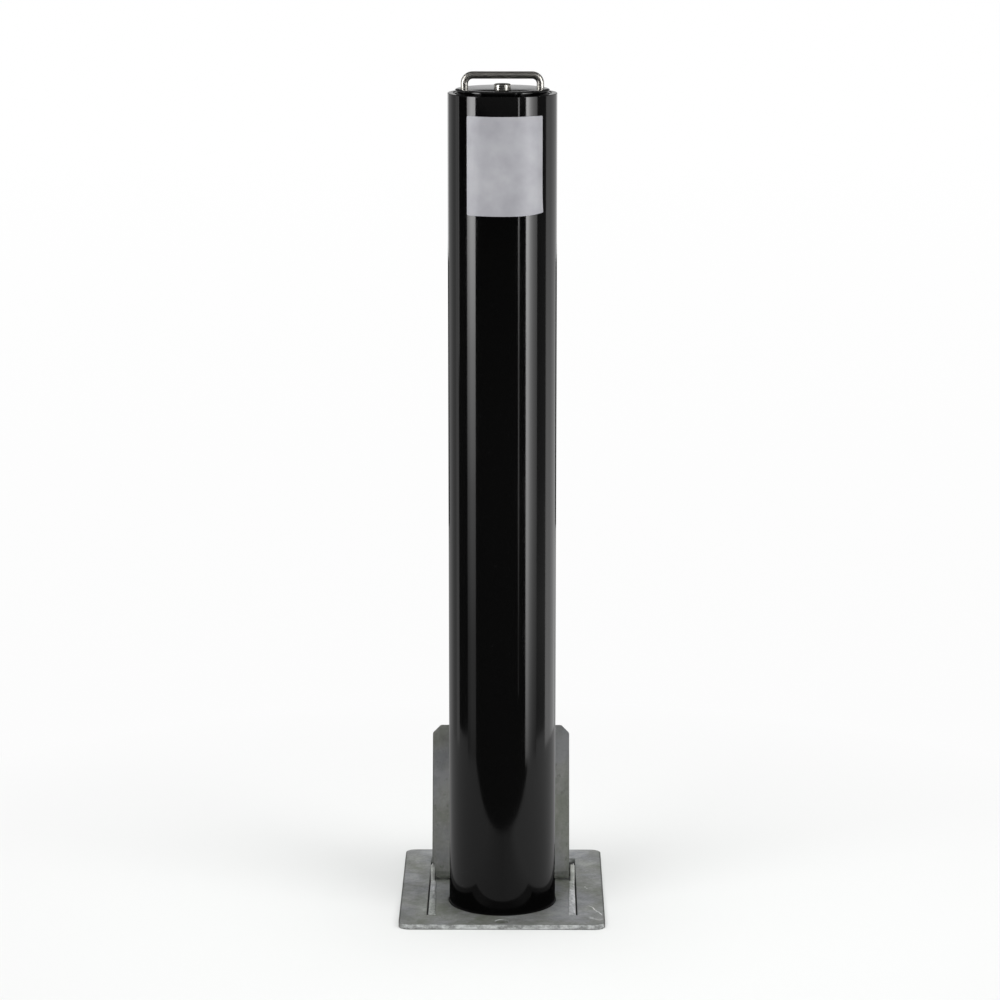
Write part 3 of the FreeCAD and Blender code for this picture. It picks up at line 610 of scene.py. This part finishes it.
def make_slot_weld(node, material, seed):
    """Weld bead along a slot: overlapping ripples, lumps, tapered ends and an inner side that narrows."""
    low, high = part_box(node)
    middle = (low.x + high.x) / 2
    half = (high.x - low.x) / 2
    length = high.y - low.y
    rise = high.z - low.z
    ripple = 3.4 * MM
    ripple_bow = 1.6 * MM
    end_taper = 2.5 * MM
    sunk = 0.3 * MM
    wanders_per_metre = 45
    lumps_per_metre = 190
    lumps_across = 1.2
    plain_height = 0.68
    ripple_height = 0.24
    lump_height = 0.6
    plain_width = 0.94
    wander_width = 0.08
    ripple_width = 0.04
    end_width = 0.75
    narrowing = 0.6
    bm = bmesh.new()
    bmesh.ops.create_grid(bm, x_segments=WELD_CELLS_ACROSS, y_segments=WELD_CELLS_ALONG, size=0.5)
    for v in bm.verts:
        across = v.co.x * 2
        along = v.co.y * length
        wander = noise.noise(Vector((along * wanders_per_metre, seed, 0.3)))
        lump = noise.noise(Vector((along * lumps_per_metre, across * lumps_across, seed + 5.0)))
        scallop = abs(math.sin(math.pi * (along + across ** 2 * ripple_bow) / ripple))
        to_end = (length / 2 - abs(along)) / end_taper
        taper = math.sqrt(min(1.0, max(0.0, to_end)))
        dome = math.sqrt(max(0.0, 1 - across ** 2))
        height = rise * taper * dome
        height *= plain_height + ripple_height * scallop + lump_height * lump
        width = half * (end_width + (1 - end_width) * taper)
        width *= plain_width + wander_width * wander + ripple_width * scallop
        if across * middle < 0:
            width *= 1 - narrowing * (along / length + 0.5)
        v.co = Vector((middle + across * width, (low.y + high.y) / 2 + along, low.z + max(height, 0)))
    rim = [e for e in bm.edges if e.is_boundary]
    skirt = bmesh.ops.extrude_edge_only(bm, edges=rim)["geom"]
    below = [v for v in skirt if isinstance(v, bmesh.types.BMVert)]
    bmesh.ops.translate(bm, vec=(0, 0, -sunk), verts=below)
    bmesh.ops.contextual_create(bm, geom=[e for e in skirt if isinstance(e, bmesh.types.BMEdge)])
    bmesh.ops.recalc_face_normals(bm, faces=bm.faces)
    piece = to_object(node + "_bead", bm, material, smooth_angle=60)
    stand_for(piece, "ground_socket", "galvanised_weld", node)


# Studio

def emitter(name, strength):
    """Light-giving material of one strength."""
    material = bpy.data.materials.new(name)
    material.use_nodes = True
    tree = material.node_tree
    tree.nodes.remove(tree.nodes["Principled BSDF"])
    glow = add_node(tree, "Emission", {"Strength": strength})
    tree.links.new(glow, tree.nodes["Material Output"].inputs["Surface"])
    return material


def shaped_glow(name, by_height=None, by_azimuth=None, by_side=None):
    """Light-giving material whose strength follows height, azimuth in degrees or distance to the right."""
    material = emitter(name, 1.0)
    tree = material.node_tree
    right = place_along(tree, "X")
    forward = product(tree, place_along(tree, "Y"), -1)
    azimuth = add_node(tree, "Math", [right, forward], operation="ARCTAN2")
    degrees = add_node(tree, "Math", [azimuth], operation="DEGREES")
    shapes = ((place_along(tree, "Z"), by_height), (degrees, by_azimuth), (right, by_side))
    strength = product(tree, *(follow(tree, value, points) for value, points in shapes if points))
    tree.links.new(strength, tree.nodes["Emission"].inputs["Strength"])
    return material


def one_sided(material):
    """Makes a light-giving material clear from behind."""
    tree = material.node_tree
    behind = add_node(tree, "NewGeometry", output="Backfacing")
    clear = add_node(tree, "BsdfTransparent")
    both = add_node(tree, "MixShader", [behind, tree.nodes["Emission"].outputs[0], clear])
    tree.links.new(both, tree.nodes["Material Output"].inputs["Surface"])
    return material


def only_reflected(card):
    """A studio card that only shows as a reflection."""
    card.visible_camera = False
    card.visible_diffuse = False
    card.visible_shadow = False
    card.visible_transmission = False
    card.visible_volume_scatter = False


def standing_card(name, azimuth_from, azimuth_to, low, high, material, radius=NEAR):
    """Upright curved card about the post; azimuth 0 is towards the camera, 90 to the right."""
    degrees_a_step = 3
    start = math.radians(azimuth_from)
    sweep = math.radians(azimuth_to - azimuth_from)
    steps = max(2, int(abs(azimuth_to - azimuth_from) / degrees_a_step))
    bm = bmesh.new()
    foot = bm.verts.new((radius * math.sin(start), -radius * math.cos(start), low))
    head = bm.verts.new((radius * math.sin(start), -radius * math.cos(start), high))
    side = bm.edges.new((foot, head))
    bmesh.ops.spin(bm, geom=[foot, head, side], cent=(0, 0, 0), axis=(0, 0, 1), angle=sweep, steps=steps)
    only_reflected(to_object(name, bm, material))


def level_card(name, left, right, front, back, level, material):
    """Level rectangular card that faces up."""
    bm = bmesh.new()
    corners = [(left, front), (right, front), (right, back), (left, back)]
    bm.faces.new([bm.verts.new((x, y, level)) for x, y in corners])
    only_reflected(to_object(name, bm, material))


def open_sheet(name, left, right, front, back, level, material):
    """Level sheet between four sides, open over the casing."""
    margin = 0.2 * MM
    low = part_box("casing_cheek_left")[0]
    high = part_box("casing_cheek_right")[1]
    xs = [left, low.x - margin, high.x + margin, right]
    ys = [front, low.y - margin, high.y + margin, back]
    bm = bmesh.new()
    bmesh.ops.create_grid(bm, x_segments=3, y_segments=3, size=0.5)
    over_casing = min(bm.faces, key=lambda face: face.calc_center_median().length)
    bmesh.ops.delete(bm, geom=[over_casing], context="FACES_ONLY")
    for vert in bm.verts:
        column = round(3 * (vert.co.x + 0.5))
        row = round(3 * (vert.co.y + 0.5))
        vert.co = (xs[column], ys[row], level)
    return to_object(name, bm, material)


def make_floor():
    """Plain white floor that fades into the white background and keeps the object's shadow."""
    extent = 30
    material, tree = new_material(
        "white_studio_floor", Roughness=0.9, Base_Color=linear("#E2E3E2"), Specular_IOR_Level=0.0
    )
    shaded = tree.nodes["Principled BSDF"].outputs[0]
    depth = place_along(tree, "Y")
    paleness = follow(tree, depth, [(-0.4, 0.925), (0, 0.95), (0.6, 0.975), (3, 0.985), (8, 1.0)])
    white = add_node(tree, "Emission", {"Color": (1, 1, 1, 1), "Strength": paleness})
    distance = add_node(tree, "VectorMath", [object_place(tree)], output="Value", operation="LENGTH")
    far = follow(tree, distance, [(0.2, 0), (0.9, 1)])
    both = add_node(tree, "MixShader", [far, shaded, white])
    tree.links.new(both, tree.nodes["Material Output"].inputs["Surface"])
    floor = open_sheet("studio_floor", -extent, extent, -extent, extent, 0, material)
    floor.visible_glossy = False


def make_shade_sheet():
    """Dark sheet under the plate: painted shade that shows through the plate's slots."""
    low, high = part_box("ground_plate")
    inset = 3 * MM
    level = 0.1 * MM
    material = new_material("painted_shade_under_the_plate", Roughness=0.95, Base_Color=linear("#0C0C0B"))[0]
    dark_sheet = open_sheet(
        "shade_sheet_under_the_plate", low.x + inset, high.x - inset, low.y + inset, high.y - inset, level, material
    )
    dark_sheet.visible_glossy = False


def make_world():
    """White for the camera and for reflections, a level sky for light."""
    world = bpy.data.worlds.new("studio")
    bpy.context.scene.world = world
    world.use_nodes = True
    tree = world.node_tree
    background = tree.nodes["Background"]
    background.inputs["Color"].default_value = (1, 1, 1, 1)
    seen = 0.0
    for kind in ("Is Camera Ray", "Is Glossy Ray", "Is Transmission Ray"):
        ray = add_node(tree, "LightPath", output=kind)
        seen = add_node(tree, "Math", [ray, seen], operation="MAXIMUM")
    strength = add_node(tree, "MapRange", [seen, 0, 1, SKY_LIGHT, 1])
    tree.links.new(strength, background.inputs["Strength"])


def make_room():
    """Reflections of the room: dark in front, dim above and white behind."""
    room_foot = -0.2
    dark_top = 0.97
    white_foot = 0.95
    white_top = 1.25
    room_top = 4.0
    ceiling = 3.2
    ceiling_half = 3
    back_end = 360 - FRONT_END
    dark_front = shaped_glow("dark_room_front_glow", by_height=[(0.3, 0.035), (0.65, 0.02), (0.8, 0.005)])
    dim_front = shaped_glow("dim_room_front_glow", by_height=[(2.2, 0.11), (2.5, 0.34)])
    dim_behind = shaped_glow("dim_wall_glow", by_height=[(1.7, 0.03), (2.2, 0.15)])
    white_behind = emitter("white_wall_glow", 0.6)
    dim = emitter("dim_ceiling", 0.08)
    standing_card("dark_room_front", -FRONT_END, FRONT_END, room_foot, dark_top, dark_front, FAR)
    standing_card("dim_room_front", -FRONT_END, FRONT_END, dark_top, room_top, dim_front, FAR)
    standing_card("white_wall_behind", FRONT_END, back_end, white_foot, white_top, white_behind, FAR)
    standing_card("dim_wall_behind", FRONT_END, back_end, white_top, room_top, dim_behind, FAR)
    level_card("dim_ceiling", -ceiling_half, ceiling_half, -ceiling_half, ceiling_half, ceiling, dim)


def make_softboxes():
    """Reflections in the tube's sides: a softbox at each side, a haze and a thin line at the right."""
    left_glow = shaped_glow(
        "left_softbox_glow",
        by_height=[(0.0, 0.25), (0.05, 0.42), (0.18, 0.6), (0.38, 1.4), (0.58, 3.4), (0.84, 8.2)],
        by_azimuth=[(-77, 0.5), (-72, 0.72), (-66, 1.0), (-57, 0.95)],
    )
    right_glow = shaped_glow(
        "right_softbox_glow",
        by_height=[(0.0, 1.6), (0.05, 2.3), (0.18, 3.8), (0.38, 5.6), (0.58, 6.5), (0.84, 9.0)],
        by_azimuth=[(49, 1.0), (54, 0.95), (60, 0.5), (66, 0.3), (74, 0.17)],
    )
    haze_glow = shaped_glow(
        "right_haze_glow", by_height=[(0.05, 0.2), (0.18, 0.28), (0.38, 0.17), (0.84, 0.08)]
    )
    line_glow = shaped_glow(
        "line_glow", by_height=[(0.18, 0.25), (0.28, 0.6), (0.38, 1.1), (0.58, 1.2), (0.68, 2.0), (0.84, 4.2)]
    )
    left_span = (-76.5, -56.3)
    right_span = (49.3, 76)
    haze_span = (76, FRONT_END)
    line_span = (32.6, 34.9)
    line_foot = 0.1
    standing_card("left_softbox", *left_span, 0, SOFTBOX_TOP, left_glow)
    standing_card("right_softbox", *right_span, 0, SOFTBOX_TOP, right_glow)
    standing_card("right_haze", *haze_span, 0, SOFTBOX_TOP, haze_glow, PAPER_HALF)
    standing_card("line_light", *line_span, line_foot, SOFTBOX_TOP, line_glow)


def make_side_walls():
    """Reflections of pale low walls at the rear left and the rear right."""
    wall_top = 0.95
    left_glow = shaped_glow(
        "left_wall_glow", by_azimuth=[(-135, 0.46), (-122, 0.34), (-114, 0.36), (-109, 0.62)]
    )
    right_glow = shaped_glow(
        "right_wall_glow",
        by_height=[(0.05, 1.1), (0.38, 1.0), (0.84, 0.65)],
        by_azimuth=[(102, 1.3), (110, 1.25), (118, 1.0)],
    )
    standing_card("left_wall", -SIDE_END, -FRONT_END, 0, wall_top, left_glow)
    standing_card("right_wall", FRONT_END, SIDE_END, 0, wall_top, right_glow)


def make_reflected_ground():
    """Reflections of the paper that the object stands on and of the dark ground beyond it."""
    paper_front = -0.465
    paper_back = 2.1
    paper_level = 0.2 * MM
    ground_half = 6
    ground_level = -0.5 * MM
    paper = shaped_glow(
        "floor_paper_glow",
        by_side=[(-0.8, 0.42), (-0.22, 0.37), (-0.1, 0.3), (0, 0.26), (0.1, 0.31), (0.19, 0.48), (0.8, 0.58)],
    )
    dark = emitter("dark_room", 0.035)
    only_reflected(
        open_sheet("paper_reflected", -PAPER_HALF, PAPER_HALF, paper_front, paper_back, paper_level, paper)
    )
    only_reflected(
        open_sheet("dark_ground", -ground_half, ground_half, -ground_half, ground_half, ground_level, dark)
    )


def make_plate_reflections():
    """Reflections at the tube's foot: floor lit before the plate, the plate in shade and its dim rim."""
    low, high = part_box("ground_plate")
    apron = 15 * MM
    apron_level = 0.3 * MM
    level_card(
        "lit_floor_by_the_plate", low.x - apron, high.x + apron, low.y - apron, low.y + apron,
        apron_level, emitter("lit_floor_glow", 1.0)
    )
    shade_inset = 8 * MM
    shade_front_inset = 15 * MM
    above_plate = 2 * MM
    level_card(
        "plate_in_shade", low.x + shade_inset, high.x - shade_inset, low.y + shade_front_inset, high.y,
        high.z + above_plate, one_sided(emitter("shaded_plate", 0.008))
    )
    rim = 18 * MM
    front_rim = 24 * MM
    on_plate = 0.3 * MM
    rim_glow = shaped_glow(
        "dim_edge_glow", by_side=[(-0.06, 0.1), (-0.02, 0.045), (0.02, 0.045), (0.06, 0.1)]
    )
    level_card(
        "dim_edge_by_the_plate", low.x - rim, high.x + rim, low.y - front_rim, high.y + rim,
        high.z + on_plate, one_sided(rim_glow)
    )


def make_lamp(name, place, aim, width, height, power):
    """Large soft area lamp that no reflection shows."""
    data = bpy.data.lights.new(name, "AREA")
    data.shape = "RECTANGLE"
    data.size = width
    data.size_y = height
    data.energy = power
    lamp = bpy.data.objects.new(name, data)
    bpy.context.scene.collection.objects.link(lamp)
    lamp.location = place
    lamp.rotation_euler = (Vector(aim) - Vector(place)).to_track_quat("-Z", "Y").to_euler()
    lamp.visible_glossy = False
    lamp.visible_camera = False


def make_lamps():
    """Soft light from the front left, the front right and above."""
    make_lamp("key_lamp", (-1.6, -1.8, 2.6), (0, 0, 0.3), width=1.6, height=1.6, power=34)
    make_lamp("fill_lamp", (1.8, -1.4, 2.2), (0, 0, 0.3), width=1.4, height=1.8, power=30)
    make_lamp("top_lamp", (0, 0.4, 3.0), (0, 0, 0), width=2.4, height=2.4, power=36)


def make_camera():
    """Camera at the photo's place: a long lens from just above the post's top."""
    distance = 3.908
    height = 1.260
    turn = math.radians(0.348)
    pitch = math.radians(11.48)
    pan = math.radians(0.038)
    data = bpy.data.cameras.new("camera")
    data.sensor_width = 36
    data.lens = 129.9
    data.clip_end = 200
    camera = bpy.data.objects.new("camera", data)
    bpy.context.scene.collection.objects.link(camera)
    camera.location = (distance * math.sin(turn), -distance * math.cos(turn), height)
    camera.rotation_euler = (math.pi / 2 - pitch, 0, turn + pan)
    bpy.context.scene.camera = camera
    bpy.context.scene.view_settings.view_transform = "Standard"


# Finishes of the socket and the lid

def plate_finish():
    """Ground plate: narrow sides painted paler with flecks, painted shade on its rounded top edges and along
    its foot, a darker line at its left and right ends, scratches at its right.
    """
    middle = "#818381"
    plate = galvanised("galvanised_ground_plate", ("#666862", middle, "#9E9F9D"), metallic=0.35)
    edge_flecks_and_painted_light(plate, "#C6C9C8", middle)
    add_scratch(plate, (96.5, -22.0), (112.6, -58.0), 1.5, 1.0)
    add_scratch(plate, (93.1, 47.2), (97.5, 37.9), 2.2, 0.6)
    add_scratch(plate, (94.0, -66.0), (112.0, -76.0), 5.0, 0.3)
    # A darker line close to the plate's left and right ends.
    edge = [(0.05, 0), (0.3, 1), (0.7, 1), (2.0, 0)]
    darken_towards_sides(plate, sides_of("ground_plate"), "#3C3D39", edge, edge)
    # Lighter towards the back.
    tone_along(plate, "Y", [(50, 1.0), (120, 1.2)])
    return plate


def lid_finish():
    """Lid: painted light makes it palest a little above its foot; painted shade darkens it to the top and
    along its sides.
    """
    lid = galvanised("galvanised_lid", ("#6E6F6B", "#80817D", "#939490"), 0.48, metallic=0.4)
    # Painted light low on the lid and painted shade towards its top.
    tone_along(
        lid, "Z", [(22, 1.1), (34, 1.2), (45, 1.3), (60, 1.25), (100, 1.1), (140, 0.85), (175, 0.7)]
    )
    # Painted shade along the lid's left and right sides.
    darken_towards_sides(lid, sides_of("lid_plate"), "#2E2F2C", [(0, 0.9), (1.2, 0)], [(0, 0.7), (1.2, 0)])
    return lid


def barrel_finish():
    """Hinge barrel: painted light along its underside, duller above."""
    barrel = galvanised("galvanised_hinge_barrel", ("#62645F", "#7E807C", "#989A97"), metallic=0.3)
    # Painted light: the colour is raised towards the underside.
    tone_along(barrel, "Z", [(7, 2.6), (11, 1.7), (14.5, 0.85)])
    return barrel


def ear_finish(name, tones, metallic):
    """Cheek of the casing: painted shade down in the slot, painted light where it rises above the plate as an
    ear.
    """
    ear = galvanised(name, tones, metallic=metallic)
    # Painted shade below the plate's top and painted light on the ear above it.
    tone_along(ear, "Z", [(-20, 1.0), (-5, 0.25), (4.5, 0.25), (6.5, 1.3), (16, 1.3), (21, 1.0)])
    return ear


def bead_finish(name, tones, metallic):
    """Zinc-dipped weld: bright and lumpy."""
    return galvanised(name, tones, 0.34, metallic=metallic, lump_mm=2.2, depth_mm=0.9)


def add_slot_shadow(bead):
    """Dark line where a weld ends at its slot."""
    outer_sides = (sides_of("slot_weld_left")[0], sides_of("slot_weld_right")[1])
    shadow = [(0.4, 1), (1.0, 0)]
    darken_towards_sides(bead, outer_sides, "#1A1B18", shadow, shadow)


# Assembly

def finish_post():
    """Every piece of the post and its lock works."""
    coat = gloss_powder_coat()
    zinc = plated_steel("zinc_plated_steel", "#B4B2AA", 0.34)
    make_post_tube(coat)
    make_top_cap(coat)
    make_lifting_handle(polished_stainless("polished_stainless_bar", "#BFBCB6", 0.38))
    make_lock_housing(polished_stainless("polished_lock_ring", "#B9B7B1", 0.26))
    make_label(label_film())
    from_cad("lock_plug", plated_steel("nickelled_key_plug", "#3A3732", 0.3), "lock_plug_brass", 0.15)
    softening_mm = {
        "handle_washers": 0.2, "handle_nuts": 0.5, "lock_nut": 0.5, "rod_guide": 0.5, "foot_disc": 0.5,
        "rod_coupler": 0.6, "coupler_pins": 0.3, "lock_rod": 0.8, "tee_bolt": 0.8, "tee_nut": 0.6,
    }
    for node, width_mm in softening_mm.items():
        from_cad(node, zinc, "zinc_plated_steel", width_mm)


def finish_socket():
    """Every piece of the socket and the lid."""
    lid = lid_finish()
    casing = galvanised("galvanised_casing", ("#747775", "#8C8F8D", "#A8ABA9"))
    dull = galvanised("dull_galvanised_fixings", ("#484A45", "#5F615C", "#777974"), metallic=0.4)
    left_ear = ear_finish("galvanised_hinge_ear", ("#8A8C88", "#B2B4B0", "#D2D4D1"), 0.2)
    # The right ear is a painted-lit copy of the left ear: the same zinc in paler tones.
    right_ear = ear_finish("painted_lit_hinge_ear", ("#B8BAB6", "#D4D6D2", "#E6E8E5"), 0.1)
    left_bead = bead_finish("galvanised_weld_bead", ("#868988", "#B8BBBA", "#DEE0DF"), 0.4)
    # The right weld is a painted-lit copy of the left weld, paler, and made darker at the front and lighter
    # towards the back.
    right_bead = bead_finish("painted_lit_weld_bead", ("#949695", "#C4C6C5", "#E8E9E8"), 0.3)
    tone_along(right_bead, "Y", [(-50, 0.8), (30, 1.15)])
    from_cad("ground_plate", plate_finish(), "galvanised_steel", 0.9, segments=3)
    make_lid_plate(lid)
    from_cad("casing_cheek_left", left_ear, "galvanised_steel", 0.7)
    from_cad("casing_cheek_right", right_ear, "galvanised_steel", 0.7)
    make_hinge_barrel(barrel_finish())
    for node in ("lid_stop_left", "lid_stop_right", "cover_nut"):
        from_cad(node, lid, "galvanised_steel", 0.5)
    from_cad("hinge_pin", dull, "galvanised_steel", 0.5)
    for node in ("casing_front_wall", "casing_rear_wall", "casing_base_plate", "guide_plate", "catch_plate"):
        from_cad(node, casing, "galvanised_steel", 0.7)
    for node, bead, seed in (("slot_weld_left", left_bead, 1.0), ("slot_weld_right", right_bead, 2.0)):
        add_slot_shadow(bead)
        make_slot_weld(node, bead, seed)
    from_cad("cover_screw", dull, "zinc_plated_steel", 0.4)


def make_studio():
    """Floor, sky, everything that the gloss reflects, and the lamps."""
    make_floor()
    make_shade_sheet()
    make_world()
    make_room()
    make_softboxes()
    make_side_walls()
    make_reflected_ground()
    make_plate_reflections()
    make_lamps()


finish_post()
finish_socket()
make_studio()
make_camera()
